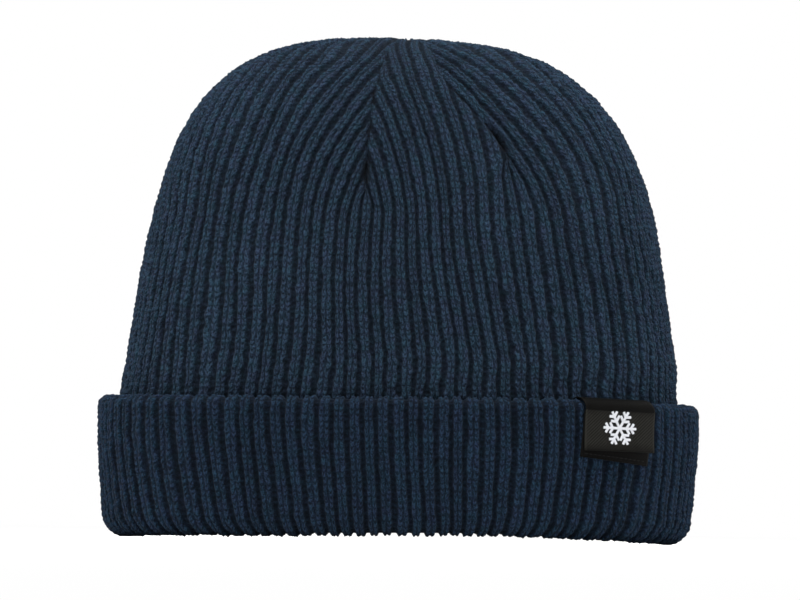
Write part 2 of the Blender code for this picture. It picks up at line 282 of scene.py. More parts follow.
def turn_at(across):
    """Turn of the front half at a fraction of the half width."""
    return TURN - np.arccos(np.sign(across) * np.abs(across) ** (SQUARENESS / 2))


def dart_across(dart, z):
    top, foot, foot_z = dart
    return foot + (top - foot) * rise(z, foot_z, DART_TOP - foot_z)


def vary(phase):
    """Ribs are not all equally wide."""
    return phase + 0.05 * np.sin(TURN * 38 * phase / RIBS) + 0.045 * np.sin(TURN * 15 * phase / RIBS + 1)


class Crown:
    """Rows of one crown face, cut into petals by darts. The back mirrors the front."""

    def __init__(self, half_width, half_depth, z):
        self.half_width, self.half_depth, self.z = half_width, half_depth, z
        size = half_width + half_depth
        narrowing = np.minimum(size / np.interp(NARROWS_FROM, z, size), 1)
        eased = rise(z, NARROWS_FROM, 12 * MM)
        climb = np.clip((z - NARROWS_FROM) / (CAP_TOP - NARROWS_FROM), 0, 1)
        self.share = (1 - (1 - narrowing) * eased) / (1 + GATHER * climb**GATHER_POWER)
        self.middles = [phase_of(turn_at(start + wander * climb**power)) for start, wander, power in PETALS]
        self.homes = [phase_of(turn_at(start)) for start, _, _ in PETALS]
        self.lines = [dart_across(dart, z) for dart in (LEFT_DART, RIGHT_DART)]
        self.feet = [LEFT_DART[2], RIGHT_DART[2]]

    def petal_of(self, turn, row):
        """Whether a place is on the back, past the left dart and past the right one."""
        across = unit_oval(turn)[0]
        return turn < math.pi, across > self.lines[0][row], across > self.lines[1][row]

    def phase(self, turn, row, petal):
        """Rib count of a place: each petal's ribs keep their spacing round its middle, up to the darts."""
        back, *past = petal
        front = np.where(back, TURN - turn, turn)
        plain = phase_of(front)
        across = unit_oval(front)[0]
        share = self.share[row]
        shifts = []
        for home, middle in zip(self.homes, self.middles):
            shifts.append(home - middle[row] * share + plain * (share - 1))
        shift = shifts[0]
        for line, foot, beyond, next_shift in zip(self.lines, self.feet, past, shifts[1:]):
            width = 0.45 * np.clip((foot - self.z[row]) / (22 * MM), 0, 1)
            soft = smooth((across - line[row]) / np.maximum(width, 1e-6) + 0.5)
            mix = np.where(width > 0, soft, beyond)
            shift = shift * (1 - mix) + next_shift * mix
        width = 9 * np.clip((SIDE_DART_FOOT - self.z[row]) / (20 * MM), 0, 1)
        from_side = np.minimum(plain - RIBS / 2, RIBS - plain)
        shift = shift * np.where(width > 0, smooth(from_side / np.maximum(width, 1e-6)), 1)
        drift = sum(ribs * bell(across, centre, spread) for ribs, centre, spread in DRIFTS)
        drift *= rise(self.z[row], 62 * MM, 56 * MM) * rise(from_side, 0, 6)
        phase = plain + shift + drift
        return vary(np.where(back, RIBS - phase, phase))

    def grooves(self, base, row):
        """How deep a place lies in a dart's seam, how puffed up it is beside one, and how much shade is painted
        into the seam and the pocket at its foot.
        """
        x, y = base[..., 0], base[..., 1]
        z = self.z[row]
        deep, puffed, painted_seam_shade = np.zeros(x.shape), np.zeros(x.shape), np.zeros(x.shape)
        gaps = [np.abs(x - line[row] * self.half_width[row]) for line in self.lines]
        gaps.append(np.abs(y) + np.where(np.abs(x) < 0.7 * self.half_width[row], 1.0, 0.0))
        for gap, foot in zip(gaps, self.feet + [SIDE_DART_FOOT]):
            opened = rise(z, foot, 12 * MM) * (1 - 0.75 * rise(z, 170 * MM, 10 * MM))
            pocket = bell(z, foot + POCKET_HEIGHT, POCKET_HEIGHT)
            deep += bell(gap, 0, GROOVE_WIDTH) * (GROOVE_DEPTH * opened + POCKET_DEPTH * pocket)
            puffed += bell(gap, 5 * MM, 3.5 * MM) * opened
            # Painted shade: the seam line and the pocket at the dart's foot are darkened in the colour, more
            # along some stretches of the seam than others
            seam_shade_strength = opened * (0.55 + 0.45 * np.sin(z / SEAM_SHADE_WAVE))
            painted_seam_shade += seam_shade_strength * bell(gap, 0, SEAM_SHADE_WIDTH) + pocket * bell(gap, 0, POCKET_SHADE_WIDTH)
        return deep, puffed, np.clip(painted_seam_shade, 0, 1)


# ---- Meshes ----


def outward(points):
    """Unit normals of a grid of rows round the cap."""
    along = np.gradient(points, axis=0)
    around = np.roll(points, -1, axis=1) - np.roll(points, 1, axis=1)
    normal = np.cross(around, along)
    return normal / np.maximum(np.linalg.norm(normal, axis=2, keepdims=True), 1e-12)


def place_in_scene(name, data):
    piece = bpy.data.objects.new(name, data)
    bpy.context.scene.collection.objects.link(piece)
    return piece


def mesh_from(name, vertices, faces, rounded=True):
    mesh = bpy.data.meshes.new(name)
    mesh.from_pydata(vertices, [], faces)
    if rounded:
        mesh.polygons.foreach_set("use_smooth", np.ones(len(faces), dtype=bool))
    return mesh


def grid_mesh(name, points, close_rows, poles=(), knit=None):
    """A closed mesh from a grid of rows (each a ring) and, for an open list of rows, two poles.

    knit is the rib count, the course and the shade painted into the dart seams at each corner of each face, as
    a function of face indices.
    """
    rows, columns, _ = points.shape
    here = np.arange(rows if close_rows else rows - 1)
    row, column = np.meshgrid(here, np.arange(columns), indexing="ij")
    row, column = row.ravel(), column.ravel()
    next_row, next_column = (row + 1) % rows, (column + 1) % columns
    quads = np.stack([row * columns + column, row * columns + next_column,
                      next_row * columns + next_column, next_row * columns + column], axis=1)
    vertices = points.reshape(-1, 3)
    fans = []
    around = np.arange(columns)
    after = (around + 1) % columns
    if len(poles):
        vertices = np.vstack([vertices, poles])
        first, last = rows * columns, rows * columns + 1
        base = (rows - 1) * columns
        fans = [np.stack([np.full(columns, first), after, around], axis=1),
                np.stack([np.full(columns, last), base + around, base + after], axis=1)]
    loops = np.concatenate([quads.ravel()] + [fan.ravel() for fan in fans])
    counts = np.concatenate([np.full(len(quads), 4)] + [np.full(len(fan), 3) for fan in fans])
    mesh = bpy.data.meshes.new(name)
    mesh.vertices.add(len(vertices))
    mesh.vertices.foreach_set("co", vertices.ravel())
    mesh.loops.add(len(loops))
    mesh.loops.foreach_set("vertex_index", loops)
    mesh.polygons.add(len(counts))
    mesh.polygons.foreach_set("loop_start", np.concatenate([[0], np.cumsum(counts)[:-1]]))
    mesh.update(calc_edges=True)
    mesh.polygons.foreach_set("use_smooth", np.ones(len(counts), dtype=bool))

    edge_row = np.stack([row, row, row + 1, row + 1], axis=1)
    edge_column = np.stack([column, column + 1, column + 1, column], axis=1)
    lay_out(mesh, "OFBake", edge_column / columns, edge_row / rows, counts, 0.98)
    if knit:
        phase, course, painted_seam_shade = knit(edge_row, edge_column)
        lay_out(mesh, "knit", phase, course, counts, 1.0)
        # The seam map carries the shade painted into the dart seams and pockets
        lay_out(mesh, "seam", painted_seam_shade, painted_seam_shade, counts, 1.0)
    return place_in_scene(name, mesh)


def lay_out(mesh, name, u, v, counts, scale):
    """A UV map from a value for each corner of the quads; the fans at the poles take a spare corner."""
    flat = np.full((int(counts.sum()), 2), 0.995)
    flat[: u.size, 0] = u.ravel() * scale
    flat[: v.size, 1] = v.ravel() * scale
    layer = mesh.uv_layers.new(name=name)
    layer.data.foreach_set("uv", flat.ravel())
    return layer


# ---- Crown plies ----


def some_rows(rows):
    """Indices of the few rows that a hidden, smooth face needs."""
    return np.unique(np.linspace(0, len(rows) - 1, HIDDEN_ROWS).astype(int))


def make_crown_outer():
    turns = column_turns(COLUMNS_PER_RIB)[:-1]
    half_width, half_depth, z, rows = (values[:-2] for values in meridian(lambda z: 0.0 * z, 0.0, ROW))
    crown = Crown(half_width, half_depth, z)
    x, y = unit_oval(turns)
    base = np.stack(np.broadcast_arrays(half_width[:, None] * x, half_depth[:, None] * y, z[:, None]), axis=2)
    normal = outward(base)
    turn, row = np.meshgrid(turns, np.arange(len(z)))
    sway = CROWN_SWAY * ripple(base * (1, 1, 0.5), WOBBLE) + CROWN_JITTER * ripple(base, JITTER)
    course = rows[:, None] / COURSE + COURSE_DRIFT * ripple(base, DRIFT)
    phase = crown.phase(turn, row, crown.petal_of(turn, row)) + sway
    relief = knit_relief(phase, course, ripple(base, LUMPS))

    deep, puffed, painted_seam_shade = crown.grooves(base, row)
    top = rise(z, 168 * MM, 14 * MM)[:, None]
    near_apex = rise(np.hypot(base[..., 0], base[..., 1]), 0, 16 * MM)
    seam = np.clip(deep / GROOVE_DEPTH, 0, 1)
    height = (relief - CREST) * (1 - 0.6 * seam) * near_apex
    height += 0.3 * MM - deep * (0.2 + 0.8 * near_apex) - 0.2 * MM * (1 - near_apex)
    height += puffed * (0.35 + 0.6 * top) * MM
    outer = base + normal * height[..., None]

    few = some_rows(z)[::-1]
    inner = base[few] - normal[few] * PLY
    points = settle(np.concatenate([inner, outer]))
    poles = np.array([[0, 0, CAP_TOP - PLY - 1.5 * MM], [0, 0, outer[-1, :, 2].mean()]])
    poles = settle(poles)
    all_turns = np.append(turns, TURN)

    def knit(edge_row, edge_column):
        on_outer = edge_row >= len(few)
        face_row = np.clip(edge_row - len(few), 0, len(z) - 1)
        middle = (all_turns[edge_column[:, :1]] + all_turns[edge_column[:, 1:2]]) / 2
        petal = [np.broadcast_to(side, edge_row.shape) for side in crown.petal_of(middle, face_row[:, :1])]
        column = edge_column % len(turns)
        phase = crown.phase(all_turns[edge_column], face_row, petal) + sway[face_row, column]
        values = phase, course[face_row, column], painted_seam_shade[face_row, column]
        return [np.where(on_outer, value, 0.0) for value in values]

    return grid_mesh("knit_crown", points, False, poles, knit)


def make_lining():
    """The inner ply: ribs on the face that touches the head."""
    row_step = COURSE * 0.75
    turns = column_turns(COLUMNS_PER_HIDDEN_RIB)[:-1]

    def face(extra):
        lines = meridian(lambda z: PLY + ply_gap(z) + extra, PLY + PLY_GAP_IN_CROWN + extra, row_step)
        return [values[:-2] for values in lines]

    half_width, half_depth, z, rows = face(PLY)
    x, y = unit_oval(turns)
    base = np.stack(np.broadcast_arrays(half_width[:, None] * x, half_depth[:, None] * y, z[:, None]), axis=2)
    normal = outward(base)
    course = rows / COURSE
    phase = phase_of(turns)[None, :] + 0.5 + 0.05 * ripple(base, WOBBLE)
    near_apex = rise(np.hypot(base[..., 0], base[..., 1]), 0, 14 * MM)
    relief = (CREST - knit_relief(phase, course[:, None])) * near_apex
    inner = base + normal * relief[..., None]

    outer_width, outer_depth, outer_z, _ = face(0.0)
    few = some_rows(outer_z)
    outer = np.stack(np.broadcast_arrays(
        outer_width[few, None] * x, outer_depth[few, None] * y, outer_z[few, None]), axis=2)
    points = settle(np.concatenate([inner[::-1], outer]))
    top = CAP_TOP - PLY - PLY_GAP_IN_CROWN
    poles = settle(np.array([[0, 0, top - PLY], [0, 0, top]]))

    def knit(edge_row, edge_column):
        face_row = np.clip(len(z) - 1 - edge_row, 0, len(z) - 1)
        return phase_of(np.append(turns, TURN)[edge_column]) + 0.5, course[face_row], 0.0 * edge_row

    return grid_mesh("knit_lining", points, False, poles, knit)


# ---- Cuff plies ----

LEAN_FROM = 43 * MM
CUFF_TWIST, CUFF_DRAW, CUFF_PITCH = 0.038, 2.2 * MM, 5.6 * MM


def cuff_lean(turn, z):
    """How many ribs the cuff's ribs have moved sideways at height z: they turn and draw together downwards."""
    drop = np.clip(LEAN_FROM - z, 0, LEAN_FROM)
    twist = CUFF_TWIST * drop
    draw = CUFF_DRAW * (drop / (38 * MM)) ** 2 * np.sin(2 * turn)
    return (twist + draw) / CUFF_PITCH


def ribbed_band(name, outer_path, inner_path, per_rib, row_step):
    """A closed band of knit: ribs along outer_path, plain along inner_path; both are (offset, z)."""
    turns = column_turns(per_rib)[:-1]
    offset, z, rows = smooth_path(outer_path, row_step)
    back_offset, back_z, _ = smooth_path(inner_path, 6 * row_step)
    all_offset = np.concatenate([offset, back_offset])
    all_z = np.concatenate([z, back_z])
    x, y = unit_oval(turns)
    base = np.stack(np.broadcast_arrays(
        (HALF_WIDTH + all_offset)[:, None] * x,
        (HALF_DEPTH + all_offset)[:, None] * y,
        all_z[:, None]), axis=2)
    wrapped = np.concatenate([base[-1:], base, base[:1]])
    normal = outward(wrapped)[1:-1]
    ribbed = len(rows)
    front = base[:ribbed]
    course = rows[:, None] / COURSE + 0.37 + COURSE_DRIFT * ripple(front, DRIFT)
    phase = phase_of(turns)[None, :] + 0.5 - cuff_lean(turns[None, :], z[:, None])
    phase = vary(phase) + CUFF_SWAY * ripple(front * (1, 1, 0.5), WOBBLE) + CUFF_JITTER * ripple(front, JITTER)
    relief = knit_relief(phase, course, ripple(front, LUMPS)) - CREST
    ends = rise(rows, 0, 2 * MM) * rise(rows[-1] - rows, 0, 2 * MM)
    height = np.zeros(base.shape[:2])
    height[:ribbed] = relief * ends[:, None]
    points = settle(base + normal * height[..., None])

    def knit(edge_row, edge_column):
        on_ribs = edge_row < ribbed
        corner_row = np.clip(edge_row, 0, ribbed - 1)
        corner = phase[corner_row, edge_column % len(turns)]
        corner = corner + np.where(edge_column == len(turns), RIBS, 0)
        course_there = np.where(on_ribs, course[corner_row, edge_column % len(turns)], 0.0)
        return np.where(on_ribs, corner, 0.0), course_there, 0.0 * edge_row

    return grid_mesh(name, points, True, (), knit)


def cuff_outline():
    """The visible ply's outer and inner lines, from the lip under the cap round to the hem's end."""
    fold_radius = (CUFF_FACE - CUFF_INNER_FACE) / 2
    fold = (CUFF_INNER_FACE + fold_radius, CUFF_TOP - fold_radius)
    corner = (CUFF_FACE - CUFF_CORNER, CUFF_CORNER)
    quarter = math.pi / 2
    outer = [(CUFF_LIP, LIP_RISE)] + arc(corner, CUFF_CORNER, -quarter, 0)
    outer += arc(fold, fold_radius, 0, 2 * quarter) + [(CUFF_INNER_FACE, HEM_END)]
    inner = [(CUFF_INNER_FACE + CUFF_PLY, HEM_END)] + arc(fold, fold_radius - CUFF_PLY, 2 * quarter, 0)
    inner += arc(corner, CUFF_CORNER - CUFF_PLY, 0, -quarter)
    lip = (CUFF_LIP, (CUFF_PLY + LIP_RISE) / 2)
    inner += arc(lip, (CUFF_PLY - LIP_RISE) / 2, quarter, 3 * quarter - 0.4, 6)
    return outer, inner


def make_cuff_outer():
    outer, inner = cuff_outline()
    return ribbed_band("knit_cuff", outer, inner, COLUMNS_PER_RIB, ROW)


def make_cuff_inner():
    near, far, top = 1.0 * MM, 4.0 * MM, HEM_END - 0.4 * MM
    outer = [(far, 6.4 * MM), (far, top)]
    inner = [(near, top), (near, 4.0 * MM), (2.5 * MM, 4.9 * MM)]
    return ribbed_band("knit_cuff_inner", outer, inner, COLUMNS_PER_HIDDEN_RIB, COURSE)


# ---- Tag, care label and threads ----


def cuff_place(offset, across, z):
    """Points on the cuff's front: offset from the crown's outer face, fraction of the half width, height."""
    half_width, half_depth = HALF_WIDTH + offset, HALF_DEPTH + offset
    y = -half_depth * (1 - np.abs(across) ** SQUARENESS) ** (1 / SQUARENESS)
    return np.stack(np.broadcast_arrays(half_width * across, y, z), axis=-1)


def ribbon(name, line, thickness, place, widths):
    """A closed strip of cloth: a line of (offset, z), thickened and carried across by place(offset, z, s)."""
    line = np.array(line)
    along = np.gradient(line, axis=0)
    along /= np.linalg.norm(along, axis=1, keepdims=True)
    side = np.stack([along[:, 1], -along[:, 0]], axis=1) * thickness / 2
    loop = np.concatenate([line + side, (line - side)[::-1]])
    length = np.concatenate([[0], np.cumsum(np.linalg.norm(np.diff(line, axis=0), axis=1))])
    length = np.concatenate([length, length[::-1]])
    points = np.stack([place(loop[:, 0], loop[:, 1], s) for s in widths])
    rows, columns, _ = points.shape
    row, column = np.meshgrid(np.arange(rows - 1), np.arange(columns), indexing="ij")
    row, column = row.ravel(), column.ravel()
    after = (column + 1) % columns
    faces = np.stack([row * columns + column, (row + 1) * columns + column,
                      (row + 1) * columns + after, row * columns + after], axis=1).tolist()
    half = columns // 2
    last = (rows - 1) * columns
    for i in range(half - 1):
        opposite = columns - 1 - i
        faces.append([i, i + 1, opposite - 1, opposite])
        faces.append([last + opposite, last + opposite - 1, last + i + 1, last + i])
    mesh = mesh_from(name, settle(points).reshape(-1, 3).tolist(), faces)
    corner = np.empty(len(mesh.loops), dtype=int)
    mesh.loops.foreach_get("vertex_index", corner)
    across = np.repeat(np.asarray(widths), columns)
    down = np.tile(length, rows)
    layer = mesh.uv_layers.new(name="cloth")
    layer.data.foreach_set("uv", np.stack([across[corner], down[corner]], axis=1).ravel())
    return place_in_scene(name, mesh)


def yarn(name, routes, radius, twist=2.4 * MM):
    """Three-ply twisted thread along each route, a list of points; every thread is closed at both ends."""
    sides = 12
    vertices, faces = [], []
    for route in routes:
        route = settle(np.array(route))
        step = np.linalg.norm(np.diff(route, axis=0), axis=1)
        length = np.concatenate([[0], np.cumsum(step)])
        count = max(int(length[-1] / (radius * 0.55)), 6)
        at = np.linspace(0, length[-1], count)
        line = np.stack([np.interp(at, length, route[:, k]) for k in range(3)], axis=1)
        along = np.gradient(line, axis=0)
        along /= np.linalg.norm(along, axis=1, keepdims=True)
        up = np.cross(along, (0.31, 0.17, 0.93))
        up /= np.linalg.norm(up, axis=1, keepdims=True)
        over = np.cross(along, up)
        turn = np.linspace(0, TURN, sides, endpoint=False)
        lobes = 1 + 0.16 * np.cos(3 * turn[None, :] + TURN * at[:, None] / twist)
        ends = np.clip(np.minimum(at, length[-1] - at) / (0.8 * radius), 0.15, 1) ** 0.5
        size = radius * lobes * ends[:, None]
        ring = line[:, None] + size[..., None] * (
            np.cos(turn)[None, :, None] * up[:, None] + np.sin(turn)[None, :, None] * over[:, None])
        start = len(vertices)
        vertices += ring.reshape(-1, 3).tolist()
        for i in range(count - 1):
            for k in range(sides):
                a, b = start + i * sides + k, start + i * sides + (k + 1) % sides
                faces.append((a, b, b + sides, a + sides))
        faces.append(tuple(range(start + sides - 1, start - 1, -1)))
        faces.append(tuple(range(start + (count - 1) * sides, start + count * sides)))
    return place_in_scene(name, mesh_from(name, vertices, faces))


TAG_ACROSS = np.array((0.612, 0.838))
TAG_LEAF = 0.45 * MM
TAG_HINGE = Vector(next(joint for joint in frame["joints"] if joint["name"] == "tag_flap_lift")["pos_m"])
BACK_FACE, FLAP_FACE = 8.75 * MM, 9.65 * MM
TAG_FOLD, FOLD_PRESSED, FOLD_TURN = 4.35 * MM, 0.86, math.radians(140)
TAG_HANG, TAG_LEAN, TAG_CUP = 18 * MM, 0.008, 0.35 * MM
FLAP_SPRING = 1.5 * MM
MOTIF_DROP, MOTIF_ARM, BAR_HALF = 6.5 * MM, 7.2 * MM, 0.52 * MM
BARBS, BARB_LEAN = ((0.42, 2.5 * MM), (0.70, 2.2 * MM)), math.radians(58)
back_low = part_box("tag_back_leaf")[0]
flap_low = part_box("tag_flap")[0]


def hang_at(z):
    return np.clip((TAG_HINGE.z - z) / TAG_HANG, 0, 1.2)


def tag_place(offset, z, s):
    """s runs from 0 to 1 across the tag, whose lower part has drifted a little to the left."""
    across = TAG_ACROSS[0] + (TAG_ACROSS[1] - TAG_ACROSS[0]) * s
    hang = hang_at(z)
    cup = TAG_CUP * (2 * s - 1) ** 2 * hang
    return cuff_place(offset - cup, across - TAG_LEAN * hang, z)


def flap_offset(z):
    """The free leaf springs away from the cuff towards its lower edge."""
    down = np.clip((TAG_HINGE.z - z) / (TAG_HINGE.z - flap_low.z), 0, 1)
    return FLAP_FACE + FLAP_SPRING * down**2.5


def make_tag_flap():
    z = np.linspace(TAG_HINGE.z - 0.05 * MM, flap_low.z + 0.1 * MM, 34)
    line = np.stack([flap_offset(z), z], axis=1)
    return ribbon("tag_flap_leaf", line, TAG_LEAF, tag_place, np.linspace(0, 1, 48))


def hem_slant(s):
    """The sewn leaf's lower edge hangs lower on the right."""
    return 2.4 * MM * (0.25 - s)


def make_tag_back():
    """Sewn to the cuff below, then over its top fold; above the free leaf it stands out, flush with it."""
    fold = (TAG_FOLD, TAG_HINGE.z)
    radius = FLAP_FACE - TAG_FOLD
    line = [(BACK_FACE, z) for z in np.linspace(back_low.z + 0.2 * MM, TAG_HINGE.z - 1.6 * MM, 22)]
    line += [(BACK_FACE + 0.35 * MM, TAG_HINGE.z - 0.4 * MM)]
    for offset, z in arc(fold, radius, 0.06, FOLD_TURN, 22):
        line.append((offset, fold[1] + (z - fold[1]) * FOLD_PRESSED))

    def place(offset, z, s):
        return tag_place(offset, z + hem_slant(s) * hang_at(z) ** 2, s)

    return ribbon("tag_back", line, TAG_LEAF, place, np.linspace(0, 1, 48))


def star_strokes():
    """Start and end of every arm and barb of the star, in the plane of the tag."""
    strokes = []
    for arm in range(6):
        turn = math.radians(60 * arm)
        tip = np.array((math.cos(turn), math.sin(turn))) * MOTIF_ARM
        strokes.append((np.zeros(2), tip))
        for share, barb in BARBS:
            for side in (-1, 1):
                lean = turn + side * BARB_LEAN
                strokes.append((tip * share, tip * share + np.array((math.cos(lean), math.sin(lean))) * barb))
    return strokes


def satin_bar(start, end, slope):
    """A raised bar of close thread from start to end: its vertices, and its faces counted from 0."""
    along = (end - start) / np.linalg.norm(end - start)
    over = np.array((-along[1], along[0]))
    count = max(int(np.linalg.norm(end - start) / (0.16 * MM)), 4)
    share = np.linspace(0, 1, count)
    rim = np.linspace(-1, 1, 7)
    columns = len(rim)
    vertices, faces = [], []
    for i, t in enumerate(share):
        thread = 0.03 * MM * math.cos(math.pi * i)
        for k in rim:
            at = start + (end - start) * t + over * k * BAR_HALF
            lift = (0.08 + 0.26 * math.sqrt(max(1 - k * k, 0))) * MM + thread
            vertices.append(on_flap(at, lift, slope))
    bottom = len(vertices)
    for t in share:
        for k in (-1, 1):
            vertices.append(on_flap(start + (end - start) * t + over * k * BAR_HALF, 0.02 * MM, slope))
    for i in range(count - 1):
        for k in range(columns - 1):
            a = i * columns + k
            faces.append((a, a + 1, a + 1 + columns, a + columns))
        low, top = bottom + 2 * i, i * columns
        faces.append((low, top, top + columns, low + 2))
        faces.append((top + columns - 1, low + 1, low + 3, top + 2 * columns - 1))
        faces.append((low + 1, low, low + 2, low + 3))
    for i, flip in ((0, False), (count - 1, True)):
        ring = [bottom + 2 * i] + [i * columns + k for k in range(columns)] + [bottom + 2 * i + 1]
        faces.append(tuple(ring if flip else ring[::-1]))
    return vertices, faces


def make_motif():
    """A plain six-armed snow star, embroidered: a satin-stitched bar for every arm and barb."""
    vertices, faces = [], []
    slope = abs(cuff_slope(TAG_ACROSS.mean()))
    for start, end in star_strokes():
        first = len(vertices)
        bar, bar_faces = satin_bar(start, end, slope)
        vertices += bar
        faces += [tuple(first + i for i in face) for face in bar_faces]
    mesh = mesh_from("snow_star", settle(np.array(vertices)).tolist(), faces, rounded=False)
    return place_in_scene("snow_star", mesh)


def cuff_slope(across):
    """Half width used up for each metre along the front of the cuff."""
    step = 1e-4
    first, second = cuff_place(FLAP_FACE, np.array((across, across + step)), 0.0)
    return step / np.linalg.norm(second - first)


def on_flap(at, lift, slope):
    """A place on the free leaf: right of and above the motif's middle, lifted off the cloth."""
    right, up = at
    z = TAG_HINGE.z - MOTIF_DROP + up
    s = (TAG_ACROSS.mean() - 0.002 + right * slope - TAG_ACROSS[0]) / (TAG_ACROSS[1] - TAG_ACROSS[0])
    return tag_place(flap_offset(z) + TAG_LEAF / 2 + lift, z, s)


def make_tag_stitches():
    """A running stitch along the foot of the sewn leaf."""
    routes = []
    edges = np.linspace(0.05, 0.95, 15)
    for left, right in zip(edges[:-1], edges[1:]):
        s = np.linspace(left, left + (right - left) * 0.72, 9)
        bow = 0.22 * MM * np.sin(np.linspace(0, math.pi, 9))
        z = back_low.z + 1.7 * MM + hem_slant(s)
        routes.append([tag_place(BACK_FACE + TAG_LEAF / 2 + b, h, t) for b, h, t in zip(bow, z, s)])
    return yarn("tag_running_stitch", routes, 0.17 * MM)


care_low, care_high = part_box("care_label")


def make_care_label():
    """A satin ribbon folded in half, sewn in along its top."""
    leaf = 0.36 * MM
    radius = (care_high.y - care_low.y - leaf) / 2
    middle, bend = (care_low.y + care_high.y) / 2, care_low.z + radius + leaf / 2
    line = [(middle + radius, z) for z in np.linspace(care_high.z, bend, 24)]
    line += arc((middle, bend), radius, 0, -math.pi, 12)[1:]
    line += [(middle - radius, z) for z in np.linspace(bend, care_high.z, 24)[1:]]

    def place(y, z, s):
        down = (care_high.z - z) / (care_high.z - care_low.z)
        wave = 0.35 * MM * down * math.sin(TURN * s + 0.6)
        x = care_low.x + (care_high.x - care_low.x) * s
        return np.stack(np.broadcast_arrays(x, y + wave, z), axis=-1)

    return ribbon("care_ribbon", line, leaf, place, np.linspace(0, 1, 36))


def make_care_stitches():
    """A running stitch along the care label's top."""
    low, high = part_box("care_label_stitches")
    y, z = (low.y + high.y) / 2, (low.z + high.z) / 2
    edges = np.linspace(low.x, high.x, 13)
    routes = []
    for left, right in zip(edges[:-1], edges[1:]):
        x = np.linspace(left, left + (right - left) * 0.75, 9)
        bow = 0.25 * MM * np.sin(np.linspace(0, math.pi, 9))
        routes.append([(a, y - b, z) for a, b in zip(x, bow)])
    return yarn("care_running_stitch", routes, 0.2 * MM)


def make_dart_ridge(node):
    """The gathered ridge behind a dart: overlocked yarn winding round the CAD node's own line."""
    cad = frame["nodes"][node]
    places = np.empty(len(cad.data.vertices) * 3)
    cad.data.vertices.foreach_get("co", places)
    places = places.reshape(-1, 3)
    order = np.argsort(places[:, 2], kind="stable")
    heights = places[order, 2]
    low, high = heights[0] + 0.5 * MM, heights[-1] - 0.5 * MM
    levels = np.linspace(low, high, 26)
    line = []
    for level in levels:
        near = places[np.abs(places[:, 2] - level) < 1.6 * MM]
        if len(near) >= 3:
            line.append((near.min(axis=0) + near.max(axis=0)) / 2)
    line = np.array(line)
    return yarn(node.replace("dart_seam", "dart_ridge"), [line], 0.62 * MM, 3.2 * MM)


# ---- Materials ----


class Nodes:
    """Short calls for building a node tree."""

    def __init__(self, name):
        self.material = bpy.data.materials.new(name)
        self.material.use_nodes = True
        self.tree = self.material.node_tree
        self.shader = self.tree.nodes["Principled BSDF"]

    def add(self, kind, **settings):
        node = self.tree.nodes.new(kind)
        for key, value in settings.items():
            setattr(node, key, value)
        return node

    def plug(self, value, socket):
        if isinstance(value, bpy.types.NodeSocket):
            self.tree.links.new(value, socket)
        else:
            socket.default_value = value

    def math(self, operation, *values, clamp=False):
        node = self.add("ShaderNodeMath", operation=operation, use_clamp=clamp)
        for value, socket in zip(values, node.inputs):
            self.plug(value, socket)
        return node.outputs[0]

    def mix(self, factor, first, second):
        node = self.add("ShaderNodeMix", data_type="RGBA")
        self.plug(factor, node.inputs[0])
        self.plug(first, node.inputs[6])
        self.plug(second, node.inputs[7])
        return node.outputs[2]

    def noise(self, vector, scale, detail=2.0, roughness=0.5):
        node = self.add("ShaderNodeTexNoise")
        self.plug(vector, node.inputs["Vector"])
        self.plug(scale, node.inputs["Scale"])
        self.plug(detail, node.inputs["Detail"])
        self.plug(roughness, node.inputs["Roughness"])
        return node.outputs["Fac"]

    def range(self, value, low, high, to_low=0.0, to_high=1.0):
        node = self.add("ShaderNodeMapRange")
        for amount, socket in zip((value, low, high, to_low, to_high), node.inputs):
            self.plug(amount, socket)
        return node.outputs[0]

    def uv(self, name):
        return self.add("ShaderNodeUVMap", uv_map=name).outputs[0]

    def position(self):
        return self.add("ShaderNodeTexCoord").outputs["Object"]

    def split(self, vector):
        node = self.add("ShaderNodeSeparateXYZ")
        self.plug(vector, node.inputs[0])
        return node.outputs

    def join(self, x, y, z=0.0):
        node = self.add("ShaderNodeCombineXYZ")
        for value, socket in zip((x, y, z), node.inputs):
            self.plug(value, socket)
        return node.outputs[0]

    def bump(self, height, distance, strength=1.0):
        node = self.add("ShaderNodeBump")
        node.inputs["Strength"].default_value = strength
        node.inputs["Distance"].default_value = distance
        self.plug(height, node.inputs["Height"])
        self.tree.links.new(node.outputs[0], self.shader.inputs["Normal"])


def rgba(color, scale=1.0):
    return (*[channel * scale for channel in color], 1.0)


NAVY = (0.0062, 0.0119, 0.0209)


